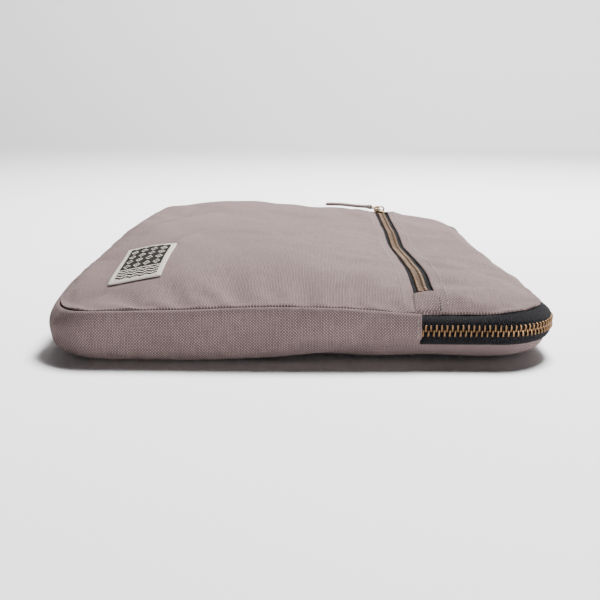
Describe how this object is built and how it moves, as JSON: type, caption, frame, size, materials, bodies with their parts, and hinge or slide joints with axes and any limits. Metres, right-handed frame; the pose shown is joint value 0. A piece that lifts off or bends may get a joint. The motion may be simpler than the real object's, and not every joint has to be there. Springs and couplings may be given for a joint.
{
  "type": "laptop sleeve",
  "caption": "Flat padded canvas laptop sleeve with rounded corners, wrap-around zipped mouth and a zipped front pocket.",
  "frame": {"origin": "on the floor, under the middle of the back panel", "axes": "+X from the closed bottom to the zipped mouth, +Y across the width away from the labelled corner, +Z out of the front face"},
  "size_m": [0.2499, 0.3548, 0.046],
  "materials": {
    "canvas": "plain-weave cotton canvas, taupe, matt",
    "lining": "dark woven lining",
    "foam": "closed-cell foam padding, hidden",
    "tape": "black herringbone zipper tape",
    "brass": "antique brass, satin, darkened in the recesses",
    "label": "woven label, off-white and black"
  },
  "bodies": {
    "sleeve": {"back_panel": "canvas", "back_foam": "foam", "back_lining": "lining", "gusset_near_half": "canvas", "gusset_far_half": "canvas", "gusset_lining_near": "lining", "gusset_lining_far": "lining", "front_lower_panel": "canvas", "pocket_back_lining": "lining", "front_foam": "foam", "front_lining": "lining", "label": "label", "pocket_zip_hem": "canvas", "pocket_zip_end_tab_near": "canvas", "pocket_zip_end_tab_far": "canvas", "pocket_zip_tape_lower": "tape", "pocket_zip_tape_upper": "tape", "pocket_zip_teeth_lower": "brass", "pocket_zip_teeth_upper": "brass", "main_zip_tape_back": "tape", "main_zip_teeth_back": "brass", "main_zip_end_tape_near": "tape", "main_zip_end_tape_far": "tape", "main_zip_end_teeth_near": "brass", "main_zip_end_teeth_far": "brass"},
    "mouth_flap": {"front_upper_panel": "canvas", "flap_foam": "foam", "flap_lining": "lining", "main_zip_tape_front": "tape", "main_zip_teeth_front": "brass"},
    "main_slider": {"main_slider": "brass", "main_slider_inner_plate": "brass"},
    "main_pull": {"main_pull_ring": "brass", "main_pull_strap": "canvas"},
    "pocket_slider": {"pocket_slider": "brass", "pocket_slider_inner_plate": "brass"},
    "pocket_pull": {"pocket_pull_ring": "brass", "pocket_pull_strap": "canvas"}
  },
  "joints": [
    {"name": "mouth_flap_hinge", "type": "hinge", "parent": "sleeve", "child": "mouth_flap", "pos_m": [0.07, 0, 0.0336], "axis": [0, -1, 0], "range_deg": [0, 60]},
    {"name": "main_slider_slide", "type": "slide", "parent": "sleeve", "child": "main_slider", "axis": [-1, 0, 0], "range_m": [-0.023, 0]},
    {"name": "main_pull_hinge", "type": "hinge", "parent": "main_slider", "child": "main_pull", "pos_m": [0.063, 0.1775, 0.017], "axis": [0.2419, 0, -0.9703], "range_deg": [0, 150]},
    {"name": "pocket_slider_slide", "type": "slide", "parent": "sleeve", "child": "pocket_slider", "axis": [0, -1, 0], "range_m": [0, 0.302]},
    {"name": "pocket_pull_hinge", "type": "hinge", "parent": "pocket_slider", "child": "pocket_pull", "pos_m": [0.0592, 0.152, 0.0359], "axis": [0, -1, 0], "range_deg": [-150, 0]}
  ]
}
